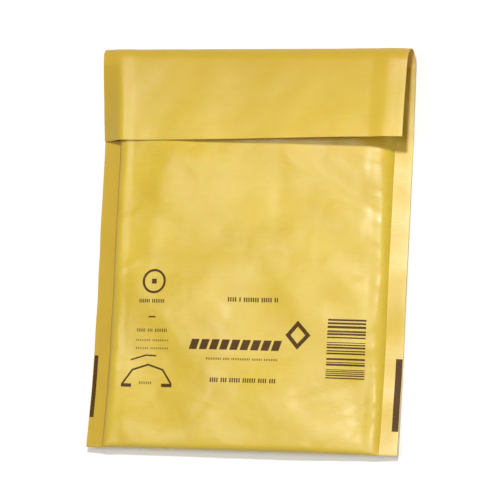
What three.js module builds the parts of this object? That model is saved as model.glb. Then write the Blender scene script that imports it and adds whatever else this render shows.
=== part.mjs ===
// A small padded envelope: a folded and glued kraft sheet with a bubble-film lining.
//
// Millimetres. It lies on its back: +X across the front, +Y from the bottom fold to the flap,
// +Z up out of the front. The origin is under the middle of the body, on the table.
import * as THREE from "three";

// Driving dimensions of the body
const WIDTH = 130; // over both side seams
const LENGTH = 162; // bottom fold to the outside of the roll at the flap
const SEAM = 7; // flat glued margin along each side
const PAPER = 0.2;
const SEAM_THICKNESS = 0.6; // two papers with the melted film between them
const LOFT = 7.4; // what the two bubble layers add in the middle
const MOUTH = 74; // where the front layer ends, in Y
const GAP = 0.3; // clearance between pieces that touch

// The back lies on the table between these two, and both ends rise a little from it
const REST_FROM = -30;
const REST_TO = 34;
const BOTTOM_RISE = 3;
const TOP_RISE = 2.5;
const SEAM_RISE = 1.9; // height of the side seams over the back
const MARGIN_DROOP = 1.2; // how far a margin's outer edge hangs below its seam
const SEAM_SWEEP = 8; // width over which the back climbs to them
const FLAP_EASING = 0.5; // share of that height that they lose towards the flap

// The loft near an edge: how fast it fills out beside each seam, and at the bottom fold
const LEFT_SHOULDER = 2.6; // distance in which it closes most of the rest
const RIGHT_SHOULDER = 4.4;
const CROWN_SHARE = 0.2; // share of it that comes evenly from the seams to the middle
const FOLD_SHARE = 0.68; // share of the loft at the bottom fold itself
const FOLD_FILL = 7;
const MOUTH_DROP = 0.1; // share that it loses again towards the mouth
const MOUTH_DROP_FROM = 48;
const FOLD_DEPTH = 0.8; // depth of the bottom fold as a share of its half height

// The flap
const ROLL_LEFT = 4.1; // radius of the roll at the left end, where the flap lies down
const ROLL_RIGHT = 6.4; // and at the right end, where it springs open
const FLAP_REACH_LEFT = 37.4; // from the top of the roll to the free edge, in Y
const FLAP_REACH_RIGHT = 37.5;
const FLAP_LIFT_LEFT = -3.8; // degrees off the body, in the middle of the flap
const FLAP_LIFT_RIGHT = 4;
const FLAP_BEND = 8; // degrees that the flap curves back down over its length
const CORNER_DROOP = 6.4; // how far the left end sinks to the seam
const DROOP_FROM = 54; // from this distance left of the middle
const DROOP_SPAN = 12;

// The lining
const FILM = 0.3;
const WELD_THICKNESS = 0.5;
const WELD_FROM = 1; // the film's side welds, measured in from the paper's seam
const WELD_TO = 2.4;
const LINING_BOTTOM = 4.2; // film's fold above the paper's
const LINING_TAIL = 2; // how far the back film runs past the mouth
const LINING_SLACK = 1.2; // left under the front for its dents
const BUBBLE_HALF_SPAN = 50; // the bubbles lie within this of the middle
const BUBBLE_PITCH = 12;
const BUBBLE_RADIUS = 5.2;
const BUBBLE_SHOULDER = 4.2;
const BUBBLE_HEIGHT = 1.7;
const BUBBLE_SHOULDER_HEIGHT = 1.2;
const BUBBLE_SIDES = 6;
const BUBBLE_ROWS = 14;
const FIRST_BUBBLE_ROW = -68.5; // the lowest row's place in Y

// The closure on the flap's inner face, measured back from its free edge
const ADHESIVE_THICKNESS = 0.15;
const ADHESIVE_FROM = 9;
const ADHESIVE_TO = 22;
const ADHESIVE_INSET = 3; // clear of each end
const LINER_THICKNESS = 0.12;
const LINER_FROM = 6.5;
const LINER_TO = 25;
const LINER_INSET = 0.5;
const STRIP_GAP = 0.12;

// Waves that keep the sheet from lying true: height, radians per mm along X and Y, and phase
const FRONT_DENTS = [
  { height: 0.25, perX: 0.062, perY: 0.085, phase: 1.1 },
  { height: 0.2, perX: 0.105, perY: -0.047, phase: 2.6 },
  { height: 0.13, perX: 0.17, perY: 0.12, phase: 0.4 },
];
const LEFT_SEAM_WAVES = [
  { height: 0.35, perX: 0, perY: 0.062, phase: 0.4 },
  { height: 0.15, perX: 0, perY: 0.15, phase: 0.8 },
];
const RIGHT_SEAM_WAVES = [
  { height: 0.35, perX: 0, perY: 0.062, phase: 2.1 },
  { height: 0.15, perX: 0, perY: 0.15, phase: 4.2 },
];

// How finely the sheet is divided
const MARGIN_COLUMNS = 2;
const HALF_COLUMNS = 10;
const COLUMN_CROWDING = 1.9; // columns stand closer towards the seams
const LAYER_ROWS = 15;
const ROW_EVENNESS = 0.55; // 1 spaces the rows evenly, less brings them closer at both ends
const ROLL_ROWS = 9;
const FLAP_ROWS = 7;
const STRIP_ROWS = 2;
const FOLD_DEGREES = [55, 25, 0, -25, -55];

const HALF = WIDTH / 2;
const BOTTOM = -LENGTH / 2;
const TOP = LENGTH / 2;
const ROW_PITCH = (BUBBLE_PITCH * Math.sqrt(3)) / 2;

const clamp = (t) => Math.min(1, Math.max(0, t));
const smooth = (t) => clamp(t) ** 2 * (3 - 2 * clamp(t));
const radians = THREE.MathUtils.degToRad;

// Distance inside the glued margin, negative on the margin itself
const fromSeam = (x) => HALF - SEAM - Math.abs(x);

// How far the back has climbed towards the side seams
const climb = (x) => smooth(1 - fromSeam(x) / SEAM_SWEEP);

// Both ends of the body curve up off the table
function endRise(y) {
  if (y < REST_FROM) return BOTTOM_RISE * ((REST_FROM - y) / (REST_FROM - BOTTOM)) ** 2;
  if (y > REST_TO) return TOP_RISE * ((y - REST_TO) / (TOP - REST_TO)) ** 2;
  return 0;
}

const waves = (list, x, y) =>
  list.reduce((sum, w) => sum + w.height * Math.sin(x * w.perX + y * w.perY + w.phase), 0);

// Outside of the back layer. The margins hang outwards in slow waves, and sink at the flap.
function backHeight(x, y) {
  const seam = SEAM_RISE + waves(x < 0 ? LEFT_SEAM_WAVES : RIGHT_SEAM_WAVES, x, y);
  const easing = 1 - FLAP_EASING * smooth((y - MOUTH_DROP_FROM) / (TOP - MOUTH_DROP_FROM));
  const droop = MARGIN_DROOP * clamp(-fromSeam(x) / SEAM);
  return endRise(y) + (seam * climb(x) - droop) * easing;
}

// Share of the loft at a distance from the bottom fold and from the mouth
function loftAlong(y) {
  const fold = 1 - (1 - FOLD_SHARE) * Math.exp(-(y - BOTTOM) / FOLD_FILL);
  const mouth = 1 - MOUTH_DROP * smooth((y - MOUTH_DROP_FROM) / (MOUTH - MOUTH_DROP_FROM));
  return fold * mouth;
}

// Thickness from the outside of the back to the outside of the front
function thickness(x, y) {
  const inside = fromSeam(x);
  if (inside <= 0) return SEAM_THICKNESS;
  const side = 1 - Math.exp(-inside / (x < 0 ? LEFT_SHOULDER : RIGHT_SHOULDER));
  const crown = 1 - CROWN_SHARE * (1 - inside / (HALF - SEAM)) ** 2;
  return SEAM_THICKNESS + side * (LOFT * crown * loftAlong(y) + waves(FRONT_DENTS, x, y));
}

const frontHeight = (x, y) => backHeight(x, y) + thickness(x, y);

// The flap's profile at one place across it
function flapProfile(x) {
  const across = smooth((x + HALF) / WIDTH);
  const between = (left, right) => left + (right - left) * across;
  const lift = between(FLAP_LIFT_LEFT, FLAP_LIFT_RIGHT);
  const radius = between(ROLL_LEFT, ROLL_RIGHT);
  const turn = Math.PI - radians(lift + FLAP_BEND / 2);
  const length = between(FLAP_REACH_LEFT, FLAP_REACH_RIGHT) - radius;
  return { radius, turn, length, curvature: radians(FLAP_BEND) / length };
}

// A point on the outside of the roll and flap, s along the sheet from the start of the roll,
// with the sheet's direction there as an angle from +Y
function flapPoint(x, s) {
  const { radius, turn, length, curvature } = flapProfile(x);
  const rolled = radius * turn;
  const start = TOP - radius;
  const angle = s < rolled ? s / radius : turn + curvature * (s - rolled);
  let y = start + radius * Math.sin(Math.min(angle, turn));
  let z = backHeight(x, start) + radius * (1 - Math.cos(Math.min(angle, turn)));
  if (s > rolled) {
    y += (Math.sin(angle) - Math.sin(turn)) / curvature;
    z -= (Math.cos(angle) - Math.cos(turn)) / curvature;
  }
  const along = clamp(s / (rolled + length));
  z -= CORNER_DROOP * along * smooth((-x - DROOP_FROM) / DROOP_SPAN);
  return { y, z, angle };
}

// Length of the sheet from the start of the roll to the flap's free edge
function flapEnd(x) {
  const { radius, turn, length } = flapProfile(x);
  return radius * turn + length;
}

// Closed mesh from quads and triangles that name shared points
class Shell {
  constructor() {
    this.points = [];
    this.index = [];
  }
  point(v) {
    this.points.push(v);
    return this.points.length - 1;
  }
  face(...corners) {
    for (let k = 1; k < corners.length - 1; k++) {
      const [a, b, c] = [corners[0], corners[k], corners[k + 1]];
      if (a !== b && b !== c && a !== c) this.index.push(a, b, c);
    }
  }
  geometry() {
    const g = new THREE.BufferGeometry();
    g.setAttribute(
      "position",
      new THREE.Float32BufferAttribute(this.points.flatMap((p) => p.toArray()), 3),
    );
    g.setIndex(this.index);
    return g;
  }
}

// Directions out of a grid of points, from the neighbours of each one
function gridNormals(grid) {
  const last = grid.length - 1;
  return grid.map((column, i) =>
    column.map((_, j) => {
      const across = grid[Math.min(i + 1, last)][j].clone().sub(grid[Math.max(i - 1, 0)][j]);
      const along = column[Math.min(j + 1, column.length - 1)]
        .clone()
        .sub(column[Math.max(j - 1, 0)]);
      return along.cross(across).normalize();
    }),
  );
}

// One sheet folded up at the bottom, its two layers joined along both sides. rows gives the
// outside of the sheet for each x: the front from the mouth down, the fold, the back up to the
// mouth, and then a tail of the back layer alone. welded is how many columns each joint has.
// stud may put something else in the place of an outer face.
function foldedSheet({ columns, welded, rows, tailRows, sheet, stud = () => false }) {
  const outer = columns.map((x) => rows(x));
  const normals = gridNormals(outer);
  const last = columns.length - 1;
  const end = outer[0].length - 1;
  const mouth = end - tailRows;
  const [a, b] = [welded, last - welded];
  const shell = new Shell();
  const out = outer.map((column) => column.map((p) => shell.point(p)));
  const inset = outer.map((column, i) =>
    column.map((p, j) => p.clone().addScaledVector(normals[i][j], -sheet)),
  );
  // Inside of the pocket: at a joint, the front's inside and the back's are one line
  const inn = inset.map((column, i) =>
    column.map((p, j) => {
      const joint = i === a || i === b;
      const inPocket = i >= a && i <= b;
      if (j > mouth || (inPocket && !joint)) return shell.point(p);
      if (!inPocket) return j === mouth ? shell.point(p) : -1;
      return -1;
    }),
  );
  for (const i of [a, b])
    for (let j = 0; j <= mouth / 2; j++) {
      const middle = inset[i][j].clone().add(inset[i][mouth - j]).multiplyScalar(0.5);
      inn[i][j] = shell.point(middle);
      inn[i][mouth - j] = inn[i][j];
    }
  for (let i = 0; i < last; i++) {
    for (let j = 0; j < end; j++) {
      const corners = [out[i][j], out[i][j + 1], out[i + 1][j + 1], out[i + 1][j]];
      if (!stud(shell, i, j, mouth, corners)) shell.face(...corners);
    }
    for (let j = mouth; j < end; j++)
      shell.face(inn[i][j], inn[i + 1][j], inn[i + 1][j + 1], inn[i][j + 1]);
    shell.face(out[i][end], inn[i][end], inn[i + 1][end], out[i + 1][end]);
    const pocket = i >= a && i < b;
    const rim = pocket ? 0 : mouth;
    shell.face(inn[i][rim], out[i][0], out[i + 1][0], inn[i + 1][rim]);
    if (pocket)
      for (let j = 0; j < mouth; j++)
        shell.face(inn[i][j], inn[i + 1][j], inn[i + 1][j + 1], inn[i][j + 1]);
  }
  // The two side edges
  for (const i of [0, last]) {
    const turned = i === 0 ? (...f) => shell.face(...f.reverse()) : (...f) => shell.face(...f);
    const o = out[i];
    turned(o[1], o[mouth - 1], o[mouth], inn[i][mouth], o[0]);
    for (let j = 1; j < mouth / 2; j++) turned(o[j], o[j + 1], o[mouth - j - 1], o[mouth - j]);
    for (let j = mouth; j < end; j++) turned(o[j], o[j + 1], inn[i][j + 1], inn[i][j]);
  }
  return shell.geometry();
}

// Places along a layer, from the bottom fold (0) to the mouth (1), closer near both ends
const LAYER_STEPS = Array.from({ length: LAYER_ROWS + 1 }, (_, k) => {
  const even = k / LAYER_ROWS;
  const eased = 0.5 - 0.5 * Math.cos(Math.PI * even);
  return ROW_EVENNESS * even + (1 - ROW_EVENNESS) * eased;
});

// Places across, closer near both seams, with the margins' own columns at the ends
function sheetColumns() {
  const inner = HALF - SEAM;
  const right = [];
  for (let k = 0; k < HALF_COLUMNS; k++)
    right.push(inner * (1 - (1 - k / HALF_COLUMNS) ** COLUMN_CROWDING));
  for (let k = 0; k <= MARGIN_COLUMNS; k++) right.push(inner + (SEAM * k) / MARGIN_COLUMNS);
  return [...right.slice(1).reverse().map((x) => -x), ...right];
}

const SHEET_COLUMNS = sheetColumns();

// Outside of a folded sheet's two layers and bottom fold, for one x. ys are the places along
// both layers, from the fold up.
function layerRows({ x, bottom, ys, front, back }) {
  const start = ys[0];
  const [low, high] = [back(x, start), front(x, start)];
  const [middle, half] = [(low + high) / 2, (high - low) / 2];
  const point = (y, z) => new THREE.Vector3(x, y, z);
  return [
    ...[...ys].reverse().map((y) => point(y, front(x, y))),
    ...FOLD_DEGREES.map(radians).map((angle) =>
      point(start - (start - bottom) * Math.cos(angle), middle + half * Math.sin(angle)),
    ),
    ...ys.map((y) => point(y, back(x, y))),
  ];
}

function foldDepth(x, bottom, front, back) {
  return (FOLD_DEPTH * (front(x, bottom) - back(x, bottom))) / 2;
}

// Outer sheet: kraft paper, folded, glued at both sides, with the rolled flap
function outerSheet() {
  const [front, back] = [frontHeight, backHeight];
  const rows = (x) => {
    const start = BOTTOM + foldDepth(x, BOTTOM, front, back);
    const ys = LAYER_STEPS.map((t) => start + t * (MOUTH - start));
    const { radius, turn, length } = flapProfile(x);
    const rolled = radius * turn;
    const along = [0];
    for (let k = 1; k <= ROLL_ROWS; k++) along.push((rolled * k) / ROLL_ROWS);
    for (let k = 1; k <= FLAP_ROWS; k++) along.push(rolled + (length * k) / FLAP_ROWS);
    const tail = along.map((s) => {
      const { y, z } = flapPoint(x, s);
      return new THREE.Vector3(x, y, z);
    });
    return [...layerRows({ x, bottom: BOTTOM, ys, front, back }), ...tail];
  };
  return foldedSheet({
    columns: SHEET_COLUMNS,
    welded: MARGIN_COLUMNS,
    sheet: PAPER,
    tailRows: 1 + ROLL_ROWS + FLAP_ROWS,
    rows,
  });
}

// Outsides of the two films. Where the bubbles lie they bend only from row to row, and on both
// sides of that they close to the welds.
function filmHeights(x, y) {
  const low = endRise(y) + PAPER + GAP + BUBBLE_HEIGHT;
  const room = SEAM_THICKNESS + LOFT * loftAlong(y) - PAPER - GAP - BUBBLE_HEIGHT;
  const high = endRise(y) + room - LINING_SLACK;
  const edge = HALF - SEAM - WELD_TO;
  const closing = smooth((Math.abs(x) - BUBBLE_HALF_SPAN) / (edge - BUBBLE_HALF_SPAN));
  const weld = backHeight(x, y) + thickness(x, y) / 2;
  const blend = (open, side) => open + (weld + (side * WELD_THICKNESS) / 2 - open) * closing;
  return { low: blend(low, -1), high: blend(high, 1) };
}

// One row of bubbles over a flat strip of film with four corners. side is +1 or -1 for the way
// that they stand.
function bubbleRow(shell, corners, y, shifted, side) {
  const points = corners.map((k) => shell.points[k]);
  const outline = points.map((p) => new THREE.Vector2(p.x, p.y));
  const [p, q] = points;
  const slope = (q.z - p.z) / (q.y - p.y);
  const filmZ = (py) => p.z + slope * (py - p.y);
  const ring = (cx, radius, height) =>
    Array.from({ length: BUBBLE_SIDES }, (_, k) => {
      const angle = (2 * Math.PI * k) / BUBBLE_SIDES;
      const px = cx + radius * Math.cos(angle);
      const py = y + radius * Math.sin(angle);
      return shell.point(new THREE.Vector3(px, py, filmZ(py) + side * height));
    });
  const centres = [];
  const reach = BUBBLE_HALF_SPAN - BUBBLE_SHOULDER;
  const first = -Math.ceil(reach / BUBBLE_PITCH) * BUBBLE_PITCH + (shifted ? BUBBLE_PITCH / 2 : 0);
  for (let x = first; x < reach; x += BUBBLE_PITCH) if (x > -reach) centres.push(x);
  const feet = centres.map((x) => ring(x, BUBBLE_RADIUS, 0));
  const flat = (k) => new THREE.Vector2(shell.points[k].x, shell.points[k].y);
  const holes = feet.map((foot) => foot.map(flat));
  const names = [...corners, ...feet.flat()];
  for (const [a, b, c] of THREE.ShapeUtils.triangulateShape(outline, holes)) {
    const [u, v, w] = [a, b, c].map((k) => flat(names[k]));
    const turn = v.sub(u).cross(w.sub(u)) * side;
    if (turn > 0) shell.face(names[a], names[b], names[c]);
    else shell.face(names[a], names[c], names[b]);
  }
  feet.forEach((foot, k) => {
    const shoulder = ring(centres[k], BUBBLE_SHOULDER, BUBBLE_SHOULDER_HEIGHT);
    const crown = new THREE.Vector3(centres[k], y, filmZ(y) + side * BUBBLE_HEIGHT);
    const top = shell.point(crown);
    for (let m = 0; m < BUBBLE_SIDES; m++) {
      const n = (m + 1) % BUBBLE_SIDES;
      const wall = [foot[m], foot[n], shoulder[n], shoulder[m]];
      const cap = [shoulder[m], shoulder[n], top];
      shell.face(...(side > 0 ? wall : wall.reverse()));
      shell.face(...(side > 0 ? cap : cap.reverse()));
    }
  });
}

// Bubble lining: one film folded at the bottom, welded at both sides, bubbles outwards
function bubbleLining() {
  const edge = HALF - SEAM - WELD_FROM;
  const weld = HALF - SEAM - WELD_TO;
  const between = (weld + BUBBLE_HALF_SPAN) / 2;
  const right = [BUBBLE_HALF_SPAN, between, weld, edge];
  const bottom = BOTTOM + LINING_BOTTOM;
  const rowEdges = Array.from(
    { length: BUBBLE_ROWS + 1 },
    (_, k) => FIRST_BUBBLE_ROW + (k - 0.5) * ROW_PITCH,
  );
  const front = (x, y) => filmHeights(x, y).high;
  const back = (x, y) => filmHeights(x, y).low;
  const rows = (x) => {
    const start = bottom + foldDepth(x, bottom, front, back);
    const body = layerRows({ x, bottom, ys: [start, ...rowEdges, MOUTH], front, back });
    return [...body, new THREE.Vector3(x, MOUTH + LINING_TAIL, back(x, MOUTH))];
  };
  // The wide strips in the middle carry a row of bubbles each. One strip without any lies
  // between them and each end of a layer.
  const stud = (shell, i, j, mouth, corners) => {
    const onFront = j < mouth / 2;
    const row = BUBBLE_ROWS - (onFront ? j : mouth - 1 - j);
    const inMiddle = i === right.length - 1;
    if (!inMiddle || row < 0 || row >= BUBBLE_ROWS) return false;
    const y = FIRST_BUBBLE_ROW + row * ROW_PITCH;
    bubbleRow(shell, corners, y, row % 2 === 1, onFront ? 1 : -1);
    return true;
  };
  return foldedSheet({
    columns: [...right.map((x) => -x).reverse(), ...right],
    welded: 1,
    sheet: FILM,
    tailRows: 1,
    rows,
    stud,
  });
}

// A band laid on the flap's inner face, between two distances from the free edge
function flapStrip({ from, to, inset, depth, thickness: thick }) {
  const edge = HALF - inset;
  const columns = [-edge, ...SHEET_COLUMNS.filter((x) => Math.abs(x) < edge), edge];
  const last = columns.length - 1;
  const shell = new Shell();
  const corner = (x, j, away) => {
    const s = flapEnd(x) - to + ((to - from) * j) / STRIP_ROWS;
    const { y, z, angle } = flapPoint(x, s);
    return new THREE.Vector3(x, y - away * Math.sin(angle), z + away * Math.cos(angle));
  };
  const face = (away) =>
    columns.map((x) =>
      Array.from({ length: STRIP_ROWS + 1 }, (_, j) => shell.point(corner(x, j, away))),
    );
  const top = face(PAPER + depth);
  const under = face(PAPER + depth + thick);
  for (let i = 0; i < last; i++) {
    for (let j = 0; j < STRIP_ROWS; j++) {
      shell.face(top[i][j], top[i][j + 1], top[i + 1][j + 1], top[i + 1][j]);
      shell.face(under[i][j], under[i + 1][j], under[i + 1][j + 1], under[i][j + 1]);
    }
    shell.face(top[i][0], top[i + 1][0], under[i + 1][0], under[i][0]);
    const j = STRIP_ROWS;
    shell.face(top[i][j], under[i][j], under[i + 1][j], top[i + 1][j]);
  }
  for (let j = 0; j < STRIP_ROWS; j++) {
    shell.face(top[0][j], under[0][j], under[0][j + 1], top[0][j + 1]);
    shell.face(top[last][j], top[last][j + 1], under[last][j + 1], under[last][j]);
  }
  return shell.geometry();
}

function adhesiveStrip() {
  return flapStrip({
    from: ADHESIVE_FROM,
    to: ADHESIVE_TO,
    inset: ADHESIVE_INSET,
    depth: STRIP_GAP,
    thickness: ADHESIVE_THICKNESS,
  });
}

function releaseLiner() {
  return flapStrip({
    from: LINER_FROM,
    to: LINER_TO,
    inset: LINER_INSET,
    depth: 2 * STRIP_GAP + ADHESIVE_THICKNESS,
    thickness: LINER_THICKNESS,
  });
}

const kraft = new THREE.MeshStandardMaterial({ color: "#dcb938", roughness: 0.55, metalness: 0 });
const film = new THREE.MeshStandardMaterial({ color: "#e9edf0", roughness: 0.2, metalness: 0 });
const glue = new THREE.MeshStandardMaterial({ color: "#e8dcb4", roughness: 0.35, metalness: 0 });
const release = new THREE.MeshStandardMaterial({ color: "#f2f1ec", roughness: 0.4, metalness: 0 });

function named(name, geometry, material) {
  const mesh = new THREE.Mesh(geometry, material);
  mesh.name = name;
  return mesh;
}

const envelope = new THREE.Group();
envelope.add(
  named("outer_sheet", outerSheet(), kraft),
  named("bubble_lining", bubbleLining(), film),
  named("adhesive_strip", adhesiveStrip(), glue),
  named("release_liner", releaseLiner(), release),
);

export default envelope;
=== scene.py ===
"""A small padded envelope lying on its back: gold kraft paper over a bubble-film lining.

The surfaces are worked out in millimetres and made in metres. X runs across the front, Y from the
bottom fold to the flap and Z up out of the front, as in the solids.
"""
import math

import bpy
import numpy as np
from mathutils import Matrix, Vector
from mathutils.bvhtree import BVHTree


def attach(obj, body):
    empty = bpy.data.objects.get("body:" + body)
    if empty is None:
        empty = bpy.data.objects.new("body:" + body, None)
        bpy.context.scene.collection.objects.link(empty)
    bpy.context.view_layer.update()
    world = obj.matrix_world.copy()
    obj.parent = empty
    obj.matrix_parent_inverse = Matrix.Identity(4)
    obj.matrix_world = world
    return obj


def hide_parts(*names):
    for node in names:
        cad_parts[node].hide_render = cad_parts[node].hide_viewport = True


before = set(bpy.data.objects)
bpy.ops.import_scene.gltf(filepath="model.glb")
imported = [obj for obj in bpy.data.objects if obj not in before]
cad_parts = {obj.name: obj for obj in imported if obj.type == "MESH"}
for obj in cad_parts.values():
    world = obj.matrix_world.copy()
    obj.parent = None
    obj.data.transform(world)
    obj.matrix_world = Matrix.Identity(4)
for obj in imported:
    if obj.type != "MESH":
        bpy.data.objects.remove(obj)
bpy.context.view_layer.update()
MM = 0.001

# The envelope's own dimensions, as in the solids
WIDTH = 130
LENGTH = 162
SEAM = 7
PAPER = 0.2
SEAM_THICKNESS = 0.6
LOFT = 7.4
MOUTH = 74
GAP = 0.3
REST_FROM = -30
REST_TO = 34
BOTTOM_RISE = 3
TOP_RISE = 2.5
SEAM_RISE = 1.9
MARGIN_DROOP = 1.2
SEAM_SWEEP = 8
FLAP_EASING = 0.5
LEFT_SHOULDER = 2.6
RIGHT_SHOULDER = 4.4
CROWN_SHARE = 0.2
FOLD_SHARE = 0.68
FOLD_FILL = 7
MOUTH_DROP = 0.1
MOUTH_DROP_FROM = 48
FOLD_DEPTH = 0.8
ROLL_LEFT = 4.1
ROLL_RIGHT = 6.4
FLAP_REACH_LEFT = 37.4
FLAP_REACH_RIGHT = 37.5
FLAP_LIFT_LEFT = -3.8
FLAP_LIFT_RIGHT = 4
FLAP_BEND = 8
CORNER_DROOP = 6.4
DROOP_FROM = 54
DROOP_SPAN = 12
FILM = 0.3
WELD_THICKNESS = 0.5
WELD_FROM = 1
WELD_TO = 2.4
LINING_BOTTOM = 4.2
LINING_TAIL = 2
LINING_SLACK = 1.2
BUBBLE_HALF_SPAN = 50
BUBBLE_PITCH = 12
BUBBLE_RADIUS = 5.2
BUBBLE_HEIGHT = 1.7
BUBBLE_ROWS = 14
FIRST_BUBBLE_ROW = -68.5
ADHESIVE_THICKNESS = 0.15
ADHESIVE_FROM = 9
ADHESIVE_TO = 22
ADHESIVE_INSET = 3
ADHESIVE_SWELL = 0.05
LINER_THICKNESS = 0.12
LINER_FROM = 6.5
LINER_TO = 25
LINER_INSET = 0.5
STRIP_GAP = 0.12
FRONT_DENTS = [(0.25, 0.062, 0.085, 1.1), (0.2, 0.105, -0.047, 2.6), (0.13, 0.17, 0.12, 0.4)]
LEFT_SEAM_WAVES = [(0.35, 0, 0.062, 0.4), (0.15, 0, 0.15, 0.8)]
RIGHT_SEAM_WAVES = [(0.35, 0, 0.062, 2.1), (0.15, 0, 0.15, 4.2)]
FOLD_ANGLES = np.radians([70, 52, 35, 17, 0, -17, -35, -52, -70])


# What stands on the sheets, in mm. Waves are height, seed and wavelength
SWELL_WAVES = [(0.7, 10450, 58), (0.15, 3183, 24)]
SWELL_IN_FROM_SEAM = 12
SWELL_FADE = 14
SWELL_FADES_FROM = 36
FLAP_WAVES = [(0.16, 41, 44), (0.035, 42, 16)]
SEAM_WAVE = (0.12, 31, 19)
SEAM_WAVE_STRETCH = 0.3
BUBBLE_IMPRINT = 0.07
CRUMPLE_HEIGHT = 0.05
BACK_PUCKERS = 0.5
BACK_IMPRINT = 0.1

HALF = WIDTH / 2
BOTTOM = -LENGTH / 2
TOP = LENGTH / 2
ROW_PITCH = BUBBLE_PITCH * math.sqrt(3) / 2


def smooth(t):
    t = np.clip(t, 0, 1)
    return t * t * (3 - 2 * t)


def waves(table, x, y):
    return sum(h * np.sin(x * px + y * py + phase) for h, px, py, phase in table)


def ripple(x, y, seed, wavelength, count=9, spread=0.35):
    """A seeded field of about unit size with that wavelength and no direction of its own."""
    rng = np.random.RandomState(seed)
    total = 0
    for _ in range(count):
        turn = rng.uniform(0, math.tau)
        k = math.tau / (wavelength * (1 + rng.uniform(-spread, spread)))
        total = total + np.sin(k * (x * math.cos(turn) + y * math.sin(turn)) + rng.uniform(0, math.tau))
    return total / math.sqrt(count / 2)


def ripples(table, x, y):
    return sum(height * ripple(x, y, seed, wavelength) for height, seed, wavelength in table)


# The body


def from_seam(x):
    return HALF - SEAM - np.abs(x)


def end_rise(y):
    low = BOTTOM_RISE * np.clip((REST_FROM - y) / (REST_FROM - BOTTOM), 0, None) ** 2
    high = TOP_RISE * np.clip((y - REST_TO) / (TOP - REST_TO), 0, None) ** 2
    return low + high


def back_height(x, y):
    side = np.where(x < 0, waves(LEFT_SEAM_WAVES, x, y), waves(RIGHT_SEAM_WAVES, x, y))
    fine = ripples([SEAM_WAVE], x * SEAM_WAVE_STRETCH, y)
    easing = 1 - FLAP_EASING * smooth((y - MOUTH_DROP_FROM) / (TOP - MOUTH_DROP_FROM))
    climb = smooth(1 - from_seam(x) / SEAM_SWEEP)
    droop = MARGIN_DROOP * np.clip(-from_seam(x) / SEAM, 0, 1)
    return end_rise(y) + ((SEAM_RISE + side + fine) * climb - droop) * easing


def loft_along(y):
    fold = 1 - (1 - FOLD_SHARE) * np.exp(-(y - BOTTOM) / FOLD_FILL)
    mouth = 1 - MOUTH_DROP * smooth((y - MOUTH_DROP_FROM) / (MOUTH - MOUTH_DROP_FROM))
    return fold * mouth


def thickness(x, y):
    inside = np.clip(from_seam(x), 0, None)
    side = 1 - np.exp(-inside / np.where(x < 0, LEFT_SHOULDER, RIGHT_SHOULDER))
    crown = 1 - CROWN_SHARE * (1 - inside / (HALF - SEAM)) ** 2
    full = LOFT * crown * loft_along(y) + waves(FRONT_DENTS, x, y)
    return SEAM_THICKNESS + side * full


# Creases in the front: start, end, width and height in mm
CREASES = [
    (16, 37, 50, 15, 2, 0.2),
    (43, 19, 60, 13, 2, -0.12),
    (10, 42, 14, 10, 4.5, -0.38),
    (-35, 42, -43, -12, 5, 0.42),
    (-24, 44, -30, 16, 5, -0.22),
    (-8, 44, -12, 22, 5, 0.25),
    (36, 44, 30, 30, 3, 0.2),
    (-58, 12, -47, 17, 1.4, -0.3),
    (-58, -12, -46, -5, 1.4, 0.24),
    (57, -8, 44, -14, 1.8, -0.12),
    (-30, -60, 10, -70, 2.2, 0.16),
    (20, -62, 50, -52, 2.2, -0.14),
]


def crease_height(x, y):
    total = 0
    for x0, y0, x1, y1, width, height in CREASES:
        dx, dy = x1 - x0, y1 - y0
        length = math.hypot(dx, dy)
        along = ((x - x0) * dx + (y - y0) * dy) / length**2
        across = ((x - x0) * dy - (y - y0) * dx) / length
        ends = smooth(along * 3 + 0.5) * smooth((1 - along) * 3 + 0.5)
        total = total + height * np.exp(-((across / width) ** 2)) * ends
    return total


def pucker_height(x, y, seed):
    """Short gathers that run in from the side seams and up from the bottom fold."""
    rng = np.random.RandomState(seed)
    total = 0
    inside = from_seam(x)
    for side in (-1, 1):
        place = BOTTOM + 5
        while place < TOP:
            place += rng.uniform(4, 13)
            reach, width = rng.uniform(5, 17), rng.uniform(0.9, 2.2)
            slant, height = rng.uniform(-0.5, 0.5), rng.choice([-1, 1]) * rng.uniform(0.06, 0.2)
            across = y - place - slant * inside
            near = smooth(inside / 1.5) * np.exp(-((np.clip(inside, 0, None) / reach) ** 2))
            total = total + np.where(x * side > 0, height * np.exp(-((across / width) ** 2)) * near, 0)
    place = -HALF + SEAM
    while place < HALF - SEAM:
        place += rng.uniform(5, 15)
        reach, width = rng.uniform(5, 13), rng.uniform(1, 2.4)
        slant, height = rng.uniform(-0.5, 0.5), rng.choice([-1, 1]) * rng.uniform(0.06, 0.18)
        up = np.clip(y - BOTTOM, 0, None)
        across = x - place - slant * up
        near = smooth(up / 2) * np.exp(-((up / reach) ** 2))
        total = total + height * np.exp(-((across / width) ** 2)) * near
    return total


def bubble_height(x, y, radius, power):
    """1 at the crown of each bubble of the lining, 0 outside them."""
    row = np.clip(np.round((y - FIRST_BUBBLE_ROW) / ROW_PITCH), 0, BUBBLE_ROWS - 1)
    shift = np.where(row % 2 == 1, BUBBLE_PITCH / 2, 0)
    reach = BUBBLE_HALF_SPAN - BUBBLE_RADIUS
    centre = np.round((x - shift) / BUBBLE_PITCH) * BUBBLE_PITCH + shift
    away = np.hypot(x - centre, y - FIRST_BUBBLE_ROW - row * ROW_PITCH) / radius
    dome = np.clip(1 - np.clip(away, 0, 1) ** power, 0, 1) ** 0.5
    return np.where(np.abs(centre) < reach, dome, 0)


def crumple(x, y, seed, wavelength, sharpness):
    """Thin soft ridges that wander over the sheet."""
    return np.clip(1 - np.abs(ripple(x, y, seed, wavelength)) * sharpness, 0, 1) ** 1.5


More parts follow.
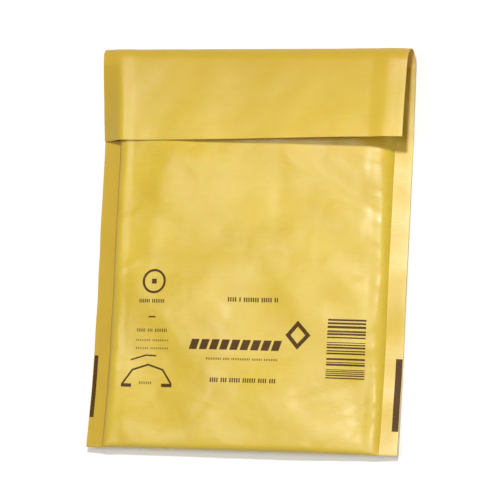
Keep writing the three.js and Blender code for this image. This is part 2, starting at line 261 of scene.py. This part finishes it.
def swell(x, y):
    """Broad soft waves of the front, gone under the flap."""
    low = smooth((y - BOTTOM) / SWELL_FADE)
    high = 1 - smooth((y - SWELL_FADES_FROM) / SWELL_FADE)
    return ripples(SWELL_WAVES, x, y) * (low * high) * smooth(from_seam(x) / SWELL_IN_FROM_SEAM)


def front_height(x, y):
    relief = crease_height(x, y) + pucker_height(x, y, 5) + swell(x, y)
    relief = relief + BUBBLE_IMPRINT * bubble_height(x, y, BUBBLE_RADIUS * 1.1, 2) - 0.03
    relief = relief + CRUMPLE_HEIGHT * crumple(x, y, 3, 44, 1.6)
    relief = relief - CRUMPLE_HEIGHT * crumple(x, y, 8, 36, 1.8)
    return back_height(x, y) + thickness(x, y) + relief * smooth(from_seam(x) / 2)


def underside(x, y):
    """The back bears the lining's bubbles a little where it is off the table."""
    free = smooth(end_rise(y) / 0.6)
    relief = pucker_height(x, y, 17) * BACK_PUCKERS
    relief = relief - BACK_IMPRINT * bubble_height(x, y, BUBBLE_RADIUS, 2)
    inside = smooth(from_seam(x) / 2)
    return back_height(x, y) + relief * inside * free


def fold_depth(x, bottom, front, back):
    return FOLD_DEPTH * (front(x, bottom) - back(x, bottom)) / 2


# The flap


def flap_profile(x):
    """The roll's radius, the angle that it turns, and the flap's length and curvature past it."""
    across = smooth((x + HALF) / WIDTH)
    lift = FLAP_LIFT_LEFT + (FLAP_LIFT_RIGHT - FLAP_LIFT_LEFT) * across
    radius = ROLL_LEFT + (ROLL_RIGHT - ROLL_LEFT) * across
    turn = math.pi - np.radians(lift + FLAP_BEND / 2)
    length = FLAP_REACH_LEFT + (FLAP_REACH_RIGHT - FLAP_REACH_LEFT) * across - radius
    return radius, turn, length, math.radians(FLAP_BEND) / length


def flap_relief(x, s):
    """Soft waves of the flap, nothing where the roll leaves the back."""
    return ripples(FLAP_WAVES, x, s) * smooth((s - 6) / 10)


def flap_point(x, s, outward=0.0):
    """Place on the outside of the roll and flap, s along the sheet, moved outward by that much."""
    radius, turn, length, curvature = flap_profile(x)
    rolled = radius * turn
    start = TOP - radius
    past = np.clip(s - rolled, 0, None)
    angle = np.where(s < rolled, s / radius, turn + curvature * past)
    bent = np.minimum(angle, turn)
    y = start + radius * np.sin(bent)
    z = back_height(x, start) + radius * (1 - np.cos(bent))
    y = y + np.where(past > 0, (np.sin(angle) - np.sin(turn)) / curvature, 0)
    z = z - np.where(past > 0, (np.cos(angle) - np.cos(turn)) / curvature, 0)
    along = np.clip(s / (rolled + length), 0, 1)
    z = z - CORNER_DROOP * along * smooth((-x - DROOP_FROM) / DROOP_SPAN)
    away = outward + flap_relief(x, s)
    return np.stack([x, y + away * np.sin(angle), z - away * np.cos(angle)], -1)


def flap_end(x):
    radius, turn, length, _ = flap_profile(x)
    return radius * turn + length


# Meshes


def make_object(name, points, faces, material, sharp=35):
    """points in mm. faces are index rows of four, or of three."""
    mesh = bpy.data.meshes.new(name)
    mesh.from_pydata((points * MM).tolist(), [], [list(dict.fromkeys(f)) for f in faces])
    mesh.validate()
    mesh.update()
    mesh.shade_smooth()
    mesh.set_sharp_from_angle(angle=math.radians(sharp))
    mesh.materials.append(material)
    piece = bpy.data.objects.new(name, mesh)
    bpy.context.scene.collection.objects.link(piece)
    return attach(piece, "root") or piece


def set_attribute(piece, name, values):
    layer = piece.data.attributes.new(name, "FLOAT", "POINT")
    layer.data.foreach_set("value", values.astype(np.float32))


def grid_normals(grid):
    along = np.gradient(grid, axis=1)
    across = np.gradient(grid, axis=0)
    normal = np.cross(along, across)
    return normal / np.linalg.norm(normal, axis=2, keepdims=True)


def quads(a, b, c, d):
    return np.stack([a.ravel(), b.ravel(), c.ravel(), d.ravel()], -1).tolist()


def folded_sheet(outer, base, welded, mouth, sheet):
    """One sheet folded at the bottom, its two layers joined at both sides.

    outer[i, j] are the places on its outside, column by column, from the front's mouth down,
    round the fold, up the back to row mouth and on along the tail. base is the same without
    what stands on it. Returns the points and the faces of the closed sheet.
    """
    last, end = outer.shape[0] - 1, outer.shape[1] - 1
    a, b = welded, last - welded
    inset = base - sheet * grid_normals(base)
    count = outer.shape[0] * outer.shape[1]
    out = np.arange(count).reshape(outer.shape[:2])
    inn = out + count
    half = mouth // 2
    for i in (a, b):
        middle = (inset[i, : half + 1] + inset[i, mouth::-1][: half + 1]) / 2
        inset[i, : half + 1] = middle
        inset[i, mouth::-1][: half + 1] = middle
        inn[i, mouth::-1][: half + 1] = inn[i, : half + 1]
    faces = quads(out[:-1, :-1], out[:-1, 1:], out[1:, 1:], out[1:, :-1])
    faces += quads(inn[:-1, mouth:-1], inn[1:, mouth:-1], inn[1:, mouth + 1 :], inn[:-1, mouth + 1 :])
    near, far = inn[a:b], inn[a + 1 : b + 1]
    faces += quads(near[:, :mouth], far[:, :mouth], far[:, 1 : mouth + 1], near[:, 1 : mouth + 1])
    faces += quads(out[:-1, end], inn[:-1, end], inn[1:, end], out[1:, end])
    for i in range(last):
        rim = 0 if a <= i < b else mouth
        faces.append([inn[i, rim], out[i, 0], out[i + 1, 0], inn[i + 1, rim]])
    for i, step in ((0, -1), (last, 1)):
        o = out[i]
        side = [[o[1], o[mouth - 1], o[mouth], inn[i, mouth], o[0]]]
        side += [[o[j], o[j + 1], o[mouth - j - 1], o[mouth - j]] for j in range(1, (mouth + 1) // 2)]
        side += [[o[j], o[j + 1], inn[i, j + 1], inn[i, j]] for j in range(mouth, end)]
        faces += [f[::step] for f in side]
    faces = [[int(k) for k in f] for f in faces]
    faces = [f for f in faces if len(set(f)) > 2]
    used = np.unique(np.concatenate([np.array(f) for f in faces]))
    place = np.full(2 * count, -1)
    place[used] = np.arange(len(used))
    points = np.concatenate([outer.reshape(-1, 3), inset.reshape(-1, 3)])[used]
    return points, [[int(place[k]) for k in f] for f in faces], used < count


def steps(*stretches):
    """Places from (start, end, spacing) stretches that follow each other."""
    places = [stretches[0][0]]
    for start, end, spacing in stretches:
        count = max(1, round(abs(end - start) / spacing))
        places += [start + (end - start) * k / count for k in range(1, count + 1)]
    return np.array(places)


def layer_grid(xs, depth_steps, bottom, front, back, tail):
    """Columns of places round a folded sheet. depth_steps are distances in from the fold."""
    columns = []
    for x in xs:
        at = lambda y: np.full_like(y, x)
        start = bottom + float(fold_depth(np.array([x]), np.array([float(bottom)]), front, back)[0])
        scale = (MOUTH - start) / depth_steps[-1]
        ys = start + depth_steps * scale
        first = ys[:1]
        low, high = back(at(first), first)[0], front(at(first), first)[0]
        middle, half = (low + high) / 2, (high - low) / 2
        front_rows = np.stack([at(ys), ys, front(at(ys), ys)], -1)[::-1]
        fold = np.stack(
            [
                np.full(len(FOLD_ANGLES), x),
                start - (start - bottom) * np.cos(FOLD_ANGLES),
                middle + half * np.sin(FOLD_ANGLES),
            ],
            -1,
        )
        back_rows = np.stack([at(ys), ys, back(at(ys), ys)], -1)
        columns.append(np.concatenate([front_rows, fold, back_rows, tail(x)]))
    return np.array(columns)


# Materials


class Nodes:
    """Short ways to lay out a material."""

    def __init__(self, name, colour, roughness):
        self.material = bpy.data.materials.new(name)
        self.material.use_nodes = True
        self.tree = self.material.node_tree
        self.shader = self.tree.nodes["Principled BSDF"]
        self.shader.inputs["Base Color"].default_value = (*colour, 1)
        self.shader.inputs["Roughness"].default_value = roughness
        self.place = self.add("ShaderNodeTexCoord").outputs["Object"]

    def add(self, kind, **settings):
        node = self.tree.nodes.new(kind)
        for key, value in settings.items():
            setattr(node, key, value)
        return node

    def link(self, source, target):
        self.tree.links.new(source, target)

    def scaled(self, scale, turn=0.0):
        node = self.add("ShaderNodeMapping")
        node.inputs["Scale"].default_value = scale
        node.inputs["Rotation"].default_value = (0, 0, turn)
        self.link(self.place, node.inputs["Vector"])
        return node.outputs["Vector"]

    def noise(self, scale, detail=4, roughness=0.55, stretch=(1, 1, 1), turn=0.0, distortion=0.0):
        node = self.add("ShaderNodeTexNoise")
        node.inputs["Scale"].default_value = scale
        node.inputs["Detail"].default_value = detail
        node.inputs["Roughness"].default_value = roughness
        node.inputs["Distortion"].default_value = distortion
        self.link(self.scaled(stretch, turn), node.inputs["Vector"])
        return node.outputs["Fac"]

    def math(self, kind, a, b=None, clamp=False):
        node = self.add("ShaderNodeMath", operation=kind, use_clamp=clamp)
        for socket, value in zip(node.inputs, (a, b)):
            if value is None:
                continue
            if isinstance(value, (int, float)):
                socket.default_value = value
            else:
                self.link(value, socket)
        return node.outputs[0]

    def spread(self, value, low, high, to_low=0.0, to_high=1.0):
        node = self.add("ShaderNodeMapRange")
        for key, number in zip(("From Min", "From Max", "To Min", "To Max"), (low, high, to_low, to_high)):
            node.inputs[key].default_value = number
        self.link(value, node.inputs["Value"])
        return node.outputs["Result"]

    def mix(self, factor, a, b, blend="MIX"):
        node = self.add("ShaderNodeMix", data_type="RGBA", blend_type=blend)
        for socket, value in ((node.inputs[0], factor), (node.inputs[6], a), (node.inputs[7], b)):
            if isinstance(value, (int, float)):
                socket.default_value = value
            elif isinstance(value, tuple):
                socket.default_value = (*value, 1)
            else:
                self.link(value, socket)
        return node.outputs[2]

    def attribute(self, name):
        return self.add("ShaderNodeAttribute", attribute_name=name).outputs["Fac"]

    def bump(self, height, strength, distance, under=None):
        node = self.add("ShaderNodeBump")
        node.inputs["Strength"].default_value = strength
        node.inputs["Distance"].default_value = distance
        self.link(height, node.inputs["Height"])
        if under is not None:
            self.link(under, node.inputs["Normal"])
        return node.outputs["Normal"]

    def finish(self, **sockets):
        for key, value in sockets.items():
            self.link(value, self.shader.inputs[key.replace("_", " ").title().replace("Ior", "IOR")])
        return self.material


KRAFT_DEEP = (0.67, 0.455, 0.014)
KRAFT_BRIGHT = (0.735, 0.512, 0.026)
KRAFT_FIBRE = (0.82, 0.6, 0.07)
KRAFT_THREAD = (0.6, 0.38, 0.02)
KRAFT_SPECK = (0.45, 0.27, 0.04)
KRAFT_WORN = (0.86, 0.66, 0.17)
# Painted shade: the darker gold of the groove beside the left seam
KRAFT_GROOVE_SHADE = (0.58, 0.375, 0.012)
# Painted shade: the darker gold towards the top of the flap, by its fold
KRAFT_FLAP_SHADE = (0.58, 0.37, 0.012)
KRAFT_INSIDE = (0.72, 0.52, 0.19)


def kraft_material():
    """Gold kraft: cloudy dye and fibres along the web, polished in soft patches, with painted shade in the
    left groove and towards the top of the flap.
    """
    n = Nodes("kraft_paper", (0.74, 0.5, 0.04), 0.4)
    n.shader.inputs["Specular IOR Level"].default_value = 0.6
    n.shader.inputs["Subsurface Weight"].default_value = 0.3
    n.shader.inputs["Subsurface Radius"].default_value = (1, 0.4, 0.08)
    n.shader.inputs["Subsurface Scale"].default_value = 0.0006
    clouds = n.noise(55, 3, 0.5)
    fibres = n.noise(900, 6, 0.65, stretch=(0.25, 1.6, 1))
    threads = n.noise(420, 3, 0.6, stretch=(0.12, 2.4, 1), turn=0.12)
    specks = n.noise(2600, 2, 0.5)
    colour = n.mix(n.spread(clouds, 0.3, 0.7), KRAFT_DEEP, KRAFT_BRIGHT)
    colour = n.mix(n.spread(fibres, 0.35, 0.75, 0, 0.2), colour, KRAFT_FIBRE)
    colour = n.mix(n.spread(threads, 0.55, 0.75, 0, 0.18), colour, KRAFT_THREAD)
    colour = n.mix(n.spread(specks, 0.66, 0.78, 0, 0.35), colour, KRAFT_SPECK)
    colour = n.mix(n.math("MULTIPLY", n.attribute("wear"), 0.45), colour, KRAFT_WORN)
    # Painted shade: the groove between the left margin and the body darkened, on the left side only
    colour = n.mix(n.math("MULTIPLY", n.attribute("left_groove_shade"), 0.8), colour, KRAFT_GROOVE_SHADE)
    # Painted shade: the flap darker towards its fold at the top
    colour = n.mix(n.math("MULTIPLY", n.attribute("flap_top_shade"), 0.75), colour, KRAFT_FLAP_SHADE)
    colour = n.mix(n.math("MULTIPLY", n.attribute("inner"), 0.6), colour, KRAFT_INSIDE)
    polish = n.noise(38, 3, 0.5, distortion=0.4)
    rough = n.spread(polish, 0.3, 0.7, 0.29, 0.42)
    rough = n.math("ADD", rough, n.math("MULTIPLY", n.spread(fibres, 0.3, 0.7), 0.06))
    rough = n.math("ADD", rough, n.math("MULTIPLY", n.attribute("inner"), 0.15))
    wrinkles = n.noise(90, 4, 0.5, distortion=0.5)
    relief = n.bump(wrinkles, 0.2, 0.0006)
    relief = n.bump(fibres, 0.25, 0.00012, relief)
    return n.finish(base_color=colour, roughness=rough, normal=relief)


def ink_material():
    n = Nodes("printed_ink", (0.08, 0.037, 0.003), 0.5)
    n.shader.inputs["Specular IOR Level"].default_value = 0.15
    patchy = n.noise(1400, 4, 0.6)
    colour = n.mix(n.spread(patchy, 0.4, 0.7), (0.06, 0.026, 0.002), (0.12, 0.058, 0.005))
    rough = n.spread(patchy, 0.3, 0.7, 0.42, 0.58)
    return n.finish(base_color=colour, roughness=rough, normal=n.bump(patchy, 0.15, 0.0001))


def film_material():
    n = Nodes("bubble_film", (0.86, 0.89, 0.9), 0.18)
    n.shader.inputs["Transmission Weight"].default_value = 0.45
    n.shader.inputs["IOR"].default_value = 1.51
    haze = n.noise(160, 4, 0.6)
    colour = n.mix(n.spread(haze, 0.3, 0.7), (0.8, 0.83, 0.85), (0.9, 0.92, 0.93))
    rough = n.spread(haze, 0.3, 0.7, 0.12, 0.3)
    return n.finish(base_color=colour, roughness=rough, normal=n.bump(haze, 0.3, 0.0005))


def glue_material():
    n = Nodes("hot_melt_glue", (0.8, 0.71, 0.46), 0.3)
    streaks = n.noise(260, 4, 0.6, stretch=(0.3, 1, 1))
    colour = n.mix(n.spread(streaks, 0.3, 0.7), (0.76, 0.66, 0.4), (0.84, 0.76, 0.53))
    rough = n.spread(streaks, 0.3, 0.7, 0.2, 0.42)
    return n.finish(base_color=colour, roughness=rough, normal=n.bump(streaks, 0.4, 0.0003))


def release_material():
    n = Nodes("release_paper", (0.89, 0.88, 0.84), 0.4)
    fibres = n.noise(1100, 4, 0.6, stretch=(0.4, 1, 1))
    colour = n.mix(n.spread(fibres, 0.3, 0.7), (0.86, 0.85, 0.81), (0.92, 0.91, 0.88))
    rough = n.spread(fibres, 0.3, 0.7, 0.32, 0.46)
    return n.finish(base_color=colour, roughness=rough, normal=n.bump(fibres, 0.2, 0.0001))


# The pieces


ROLL_STEPS = 16
FLAP_STEPS = 34
PAPER_SHARP = 26
EDGE_WEAR = 0.7
FOLD_WEAR = 1.2
# Width in mm of the painted shade in the left groove
GROOVE_SHADE_WIDTH = 3
# Span in mm of the painted shade down the flap from its top
FLAP_SHADE_SPAN = 34


def make_paper():
    inner = HALF - SEAM
    right = steps((0, inner - 12, 1.25), (inner - 12, inner, 0.75), (inner, HALF, SEAM / 3))
    xs = np.concatenate([-right[:0:-1], right])
    depth = steps((0, 6, 0.7), (6, MOUTH - BOTTOM, 1.06))

    def tail(x):
        at = np.array([float(x)])
        end = float(flap_end(at)[0])
        rolled = end - float(flap_profile(at)[2][0])
        along = np.concatenate(
            [np.linspace(0, rolled, ROLL_STEPS + 1), np.linspace(rolled, end, FLAP_STEPS + 1)[1:]]
        )
        return flap_point(np.full_like(along, x), along)

    outer = layer_grid(xs, depth, BOTTOM, front_height, underside, tail)
    mouth = outer.shape[1] - 1 - (ROLL_STEPS + FLAP_STEPS + 1)
    points, faces, outside = folded_sheet(outer, outer, 3, mouth, PAPER)
    paper = make_object("kraft_sheet", points, faces, kraft_material(), PAPER_SHARP)
    x, y = points[:, 0], points[:, 1]
    edge = np.exp(-(HALF - np.abs(x)) / EDGE_WEAR)
    fold = np.exp(-(y - BOTTOM) / FOLD_WEAR) * (y < 0)
    set_attribute(paper, "wear", np.clip(edge + fold, 0, 1) * outside)
    # Painted shade in the groove beside the left seam, on the left side only
    set_attribute(paper, "left_groove_shade", smooth((GROOVE_SHADE_WIDTH - from_seam(x)) / GROOVE_SHADE_WIDTH) * (x < 0) * (y < MOUTH))
    # Painted shade: the flap darker towards its top
    set_attribute(paper, "flap_top_shade", np.clip((y - TOP + FLAP_SHADE_SPAN) / FLAP_SHADE_SPAN, 0, 1) * outside)
    set_attribute(paper, "inner", 1.0 - outside)
    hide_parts("outer_sheet")
    return paper


def film_heights(x, y):
    low = end_rise(y) + PAPER + GAP + BUBBLE_HEIGHT
    room = SEAM_THICKNESS + LOFT * loft_along(y) - PAPER - GAP - BUBBLE_HEIGHT
    edge = HALF - SEAM - WELD_TO
    closing = smooth((np.abs(x) - BUBBLE_HALF_SPAN) / (edge - BUBBLE_HALF_SPAN))
    limit = front_height(x, y) - PAPER - GAP / 2 - BUBBLE_HEIGHT * (1 - closing)
    high = np.maximum(np.minimum(end_rise(y) + room - LINING_SLACK, limit), low + 2 * FILM + GAP / 3)
    weld = back_height(x, y) + thickness(x, y) / 2
    return (
        low + (weld - WELD_THICKNESS / 2 - low) * closing,
        high + (weld + WELD_THICKNESS / 2 - high) * closing,
    )


def make_lining():
    inner, weld = HALF - SEAM - WELD_FROM, HALF - SEAM - WELD_TO
    right = steps((0, weld, 1.25), (weld, inner, 1.4))
    xs = np.concatenate([-right[:0:-1], right])
    bottom = BOTTOM + LINING_BOTTOM
    depth = steps((0, 3, 1), (3, MOUTH - bottom, 1.25))

    def grid(dome):
        front = lambda x, y: film_heights(x, y)[1] + dome * bubble_height(x, y, BUBBLE_RADIUS, 3)
        back = lambda x, y: film_heights(x, y)[0] - dome * bubble_height(x, y, BUBBLE_RADIUS, 3)

        def tail(x):
            y = np.array([MOUTH + LINING_TAIL])
            at = np.array([float(x)])
            return np.stack([at, y, back(at, np.array([float(MOUTH)]))], -1)

        return layer_grid(xs, depth, bottom, front, back, tail)

    flat, domed = grid(0), grid(BUBBLE_HEIGHT - 0.1)
    points, faces, _ = folded_sheet(domed, flat, 1, flat.shape[1] - 2, FILM)
    lining = make_object("bubble_film", points, faces, film_material(), 60)
    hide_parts("bubble_lining")
    return lining


def closed_band(top, under):
    """Points and faces of a thin closed band between two grids."""
    count = top.shape[0] * top.shape[1]
    t = np.arange(count).reshape(top.shape[:2])
    u = t + count
    faces = quads(t[:-1, :-1], t[:-1, 1:], t[1:, 1:], t[1:, :-1])
    faces += quads(u[:-1, :-1], u[1:, :-1], u[1:, 1:], u[:-1, 1:])
    faces += quads(t[:-1, 0], t[1:, 0], u[1:, 0], u[:-1, 0])
    faces += quads(t[:-1, -1], u[:-1, -1], u[1:, -1], t[1:, -1])
    faces += quads(t[0, :-1], u[0, :-1], u[0, 1:], t[0, 1:])
    faces += quads(t[-1, :-1], t[-1, 1:], u[-1, 1:], u[-1, :-1])
    return np.concatenate([top.reshape(-1, 3), under.reshape(-1, 3)]), faces


def make_strip(name, node, material, stretch, inset, depth, thick, swell):
    """A band under the flap, between two distances from its edge and that far under the paper."""
    start, end = stretch
    xs = np.linspace(-HALF + inset, HALF - inset, 90)
    count = 16
    share = np.linspace(0, 1, count)

    def face(away):
        rows = []
        for x in xs:
            at = np.full(count, x)
            s = flap_end(at) - end + (end - start) * share
            edges = np.minimum(share, 1 - share) * (end - start)
            body = away if away < depth + thick / 2 + PAPER else away + swell * (smooth(edges / 1.5) - 1)
            rows.append(flap_point(at, s, -body))
        return np.array(rows)

    points, faces = closed_band(face(PAPER + depth), face(PAPER + depth + thick))
    piece = make_object(name, points, faces, material)
    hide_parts(node)
    return piece


# The print

BARCODE = (35.2, 50.6)
BAR_GROUPS = [(-27.4, -30.6, 0.55), (-30.6, -32.4, 0.36), (-32.4, -34.8, 0.52), (-34.8, -37.5, 0.16)]
BAR_GROUPS += [(-37.5, -41.2, 0.52), (-41.2, -43, 0.16), (-43, -45.7, 0.5), (-45.7, -48.1, 0.17)]
BAR_GROUPS += [(-48.1, -51.3, 0.48)]
# Slanted bars: how many, start, pitch, low edge, height, width and lean
SLANTED = (9, -22.4, 4.3, -40.7, 4.1, 3.2, 1.3)
REGISTER_RIGHT = (62.3, 64.85, -71.2, -42.3)
REGISTER_LEFT = (-64.8, -63.0, -68.8, -43.6)


class Print:
    """Collects flat shapes and lays them on the paper as one thin film of ink."""

    def __init__(self, paper):
        self.tree = BVHTree.FromPolygons(
            [v.co.copy() for v in paper.data.vertices], [tuple(p.vertices) for p in paper.data.polygons]
        )
        self.points, self.faces = [], []

    def height(self, x, y):
        hit = self.tree.ray_cast(Vector((x * MM, y * MM, 0.05)), Vector((0, 0, -1)))
        return hit[0].z / MM

    def patch(self, grid, over=0.05, under=0.06):
        grid = np.asarray(grid, float)
        z = np.array([[self.height(*p) for p in row] for row in grid])
        top = np.dstack([grid, z + over])
        low = np.dstack([grid, z - under])
        points, faces = closed_band(top, low)
        start = sum(len(p) for p in self.points)
        self.points.append(points)
        self.faces += [[k + start for k in f] for f in faces]

    def bar(self, x0, x1, y0, y1, step=0.8):
        xs = np.linspace(x0, x1, max(2, math.ceil(abs(x1 - x0) / step) + 1))
        ys = np.linspace(y0, y1, max(2, math.ceil(abs(y1 - y0) / step) + 1))
        self.patch([[(x, y) for y in ys] for x in xs])

    def stroke(self, path, width):
        """A line of that width with mitred corners. path may return to its start."""
        path = np.asarray(path, float)
        dense = [path[0]]
        for p, q in zip(path[:-1], path[1:]):
            count = max(1, math.ceil(np.linalg.norm(q - p) / 0.8))
            dense += [p + (q - p) * k / count for k in range(1, count + 1)]
        dense = np.array(dense)
        closed = np.allclose(path[0], path[-1])
        before = np.roll(dense, 1, 0) if closed else np.vstack([2 * dense[0] - dense[1], dense[:-1]])
        after = np.roll(dense, -1, 0) if closed else np.vstack([dense[1:], 2 * dense[-1] - dense[-2]])
        if closed:
            before[0], after[-1] = dense[-2], dense[1]
        u = (dense - before) / np.linalg.norm(dense - before, axis=1, keepdims=True)
        v = (after - dense) / np.linalg.norm(after - dense, axis=1, keepdims=True)
        tangent = u + v
        tangent /= np.linalg.norm(tangent, axis=1, keepdims=True)
        side = np.stack([tangent[:, 1], -tangent[:, 0]], -1)
        mitre = 1 / np.clip((u * tangent).sum(1, keepdims=True), 0.5, 1)
        rows = [dense + side * mitre * width * share for share in (-0.5, 0, 0.5)]
        self.patch(np.stack(rows, 0)[::-1])

    def words(self, x0, x1, y, tall, lengths, thick=0.42, pitch=0.8):
        """A line of plain upright ticks in groups, where the real one has small print."""
        x, group = x0, 0
        while x < x1:
            for _ in range(lengths[group % len(lengths)]):
                if x + thick <= x1:
                    self.bar(x, x + thick, y - tall / 2, y + tall / 2)
                x += pitch
            x += pitch * 0.9
            group += 1

    def make(self, name, material):
        points = np.concatenate(self.points)
        piece = make_object(name, points, self.faces, material, 60)
        return piece


def ring(x, y, radius, count=28):
    angles = np.linspace(0, math.tau, count + 1)
    return np.stack([x + radius * np.cos(angles), y + radius * np.sin(angles)], -1)


def print_marks(paper):
    ink = Print(paper)
    rng = np.random.RandomState(4)
    x0, x1 = BARCODE
    for high, low, share in BAR_GROUPS:
        y = high
        while y > low + 0.25:
            width = rng.choice([0.3, 0.36]) if share < 0.3 else rng.choice([0.36, 0.5, 0.75])
            gap = width * (1 - share) / share
            ink.bar(x0, x1, max(y - width, low), y)
            y -= width + gap
    for box in (REGISTER_RIGHT, REGISTER_LEFT):
        ink.bar(*box)
    # Where a certificate's mark stands: a plain ring with a dot, and lines below it
    ink.stroke(ring(-38.6, -13.6, 4.5), 0.95)
    ink.bar(-39.6, -37.6, -14.6, -12.6)
    ink.words(-44.5, -33, -21.6, 1.5, [6, 7])
    ink.bar(-40.2, -37.2, -28.3, -27.7)
    ink.words(-45.2, -31.6, -33.4, 1.3, [5, 3, 7], 0.36)
    ink.words(-45.4, -31.4, -37.4, 0.8, [8, 9], 0.28)
    ink.words(-45.4, -31.4, -40.6, 0.8, [7, 10], 0.28)
    # Where the disposal mark stands: three plain strokes
    ink.stroke([(-47.5, -45.4), (-41, -43.4), (-36.6, -43.6)], 0.6)
    ink.stroke([(-50.4, -55.2), (-46.6, -49.4), (-40, -47.2), (-33.6, -49.2), (-29.6, -54.8)], 0.75)
    ink.bar(-50.8, -46.6, -56.4, -55)
    ink.bar(-33.8, -29.2, -56.2, -54.8)
    ink.words(-43.4, -36.8, -54.6, 1.1, [7], 0.3)
    # The middle: a small line, a row of slanted bars with a diamond beside it, two small lines
    ink.words(-7, 14.4, -20.4, 1.8, [4, 1, 7, 5], 0.52, 0.95)
    count, start, pitch, low, tall, wide, lean = SLANTED
    for k in range(count):
        x = start + pitch * k
        ups = [(lean * v, low + tall * v) for v in (0, 0.25, 0.5, 0.75, 1)]
        ink.patch([[(x + wide * u + across, up) for across, up in ups] for u in (0, 0.5, 1)])
    ink.stroke([(22.9, -29.6), (27.2, -34.2), (22.9, -38.8), (18.8, -34.2), (22.9, -29.6)], 1.6)
    ink.words(-14.6, 15.6, -44.4, 0.9, [9, 4, 11, 6], 0.3, 0.72)
    ink.words(-12.6, 16, -52.9, 1.8, [4, 3, 5, 6], 0.52, 0.95)
    return ink.make("printed_marks", ink_material())


# Light, table and camera


# Lamps: name, place, width and watts. Lengths from here on are in metres
LAMPS = [
    ("key", (0.22, 0.36, 1.17), 0.1, 10),
    ("gloss", (-0.36, 0, 1.25), 0.32, 4),
    ("right", (0.62, -0.16, 0.56), 0.3, 0.9),
]
FILL = 0.08
FILL_COLOUR = (1, 0.85, 0.58, 1)
WHITE = (1, 1, 1, 1)
FLOOR_HALF = 4.0
FLOOR_HEIGHT = -0.0002
FLOOR_GREY = (0.86, 0.86, 0.86, 1)
FLOOR_GLOW = 0.25
VIEW_FROM = (0.309, -0.108, 0.945)
VIEW_UP = (-0.0141, 0.9929, 0.1184)
VIEW_TARGET = (0, 0, 0.004)
VIEW_DISTANCE = 1.67
LENS = 300


def area_light(name, place, width, power):
    """A square lamp aimed at the origin."""
    data = bpy.data.lights.new(name, "AREA")
    data.shape = "RECTANGLE"
    data.size = data.size_y = width
    data.energy = power
    lamp = bpy.data.objects.new(name, data)
    lamp.location = place
    lamp.rotation_euler = (-Vector(place)).to_track_quat("-Z", "Y").to_euler()
    bpy.context.scene.collection.objects.link(lamp)


def camera_only(tree, lit, shown):
    """lit for the light that falls, shown for what the camera or a mirror sees."""
    path = tree.nodes.new("ShaderNodeLightPath")
    seen = path.outputs["Is Camera Ray"]
    for ray in ("Is Glossy Ray", "Is Transmission Ray"):
        either = tree.nodes.new("ShaderNodeMath")
        either.operation = "MAXIMUM"
        tree.links.new(seen, either.inputs[0])
        tree.links.new(path.outputs[ray], either.inputs[1])
        seen = either.outputs[0]
    mix = tree.nodes.new("ShaderNodeMixShader")
    tree.links.new(seen, mix.inputs[0])
    tree.links.new(lit, mix.inputs[1])
    tree.links.new(shown, mix.inputs[2])
    return mix.outputs[0]


def make_world():
    world = bpy.data.worlds.new("studio")
    bpy.context.scene.world = world
    world.use_nodes = True
    tree = world.node_tree
    lit = tree.nodes["Background"]
    lit.inputs["Color"].default_value = FILL_COLOUR
    lit.inputs["Strength"].default_value = FILL
    shown = tree.nodes.new("ShaderNodeBackground")
    shown.inputs["Color"].default_value = WHITE
    shown.inputs["Strength"].default_value = 1
    out = camera_only(tree, lit.outputs[0], shown.outputs[0])
    tree.links.new(out, tree.nodes["World Output"].inputs["Surface"])


def make_floor():
    mesh = bpy.data.meshes.new("table")
    corners = [(-1, -1), (1, -1), (1, 1), (-1, 1)]
    places = [(FLOOR_HALF * x, FLOOR_HALF * y, FLOOR_HEIGHT) for x, y in corners]
    mesh.from_pydata(places, [], [(0, 1, 2, 3)])
    floor = bpy.data.objects.new("table", mesh)
    bpy.context.scene.collection.objects.link(floor)
    material = bpy.data.materials.new("table")
    material.use_nodes = True
    tree = material.node_tree
    tree.nodes.clear()
    diffuse = tree.nodes.new("ShaderNodeBsdfDiffuse")
    diffuse.inputs["Color"].default_value = FLOOR_GREY
    glow = tree.nodes.new("ShaderNodeEmission")
    glow.inputs["Color"].default_value = WHITE
    glow.inputs["Strength"].default_value = FLOOR_GLOW
    both = tree.nodes.new("ShaderNodeAddShader")
    tree.links.new(diffuse.outputs[0], both.inputs[0])
    tree.links.new(glow.outputs[0], both.inputs[1])
    out = tree.nodes.new("ShaderNodeOutputMaterial")
    tree.links.new(camera_only(tree, diffuse.outputs[0], both.outputs[0]), out.inputs["Surface"])
    mesh.materials.append(material)


def make_camera():
    """Aimed at the envelope, which fills most of the picture."""
    away = Vector(VIEW_FROM).normalized()
    right = Vector(VIEW_UP).cross(away).normalized()
    up = away.cross(right)
    data = bpy.data.cameras.new("camera")
    data.sensor_width = 36
    data.lens = LENS
    camera = bpy.data.objects.new("camera", data)
    turn = Matrix((right, up, away)).transposed().to_4x4()
    camera.matrix_world = Matrix.Translation(Vector(VIEW_TARGET) + away * VIEW_DISTANCE) @ turn
    bpy.context.scene.collection.objects.link(camera)
    bpy.context.scene.camera = camera


scene = bpy.context.scene
scene.view_settings.view_transform = "Standard"
make_camera()
make_world()
make_floor()
for lamp in LAMPS:
    area_light(*lamp)

paper = make_paper()
make_lining()
make_strip(
    "glue_band",
    "adhesive_strip",
    glue_material(),
    (ADHESIVE_FROM, ADHESIVE_TO),
    ADHESIVE_INSET,
    STRIP_GAP,
    ADHESIVE_THICKNESS,
    ADHESIVE_SWELL,
)
make_strip(
    "release_band",
    "release_liner",
    release_material(),
    (LINER_FROM, LINER_TO),
    LINER_INSET,
    2 * STRIP_GAP + ADHESIVE_THICKNESS,
    LINER_THICKNESS,
    0.0,
)
print_marks(paper)

bpy.context.view_layer.update()
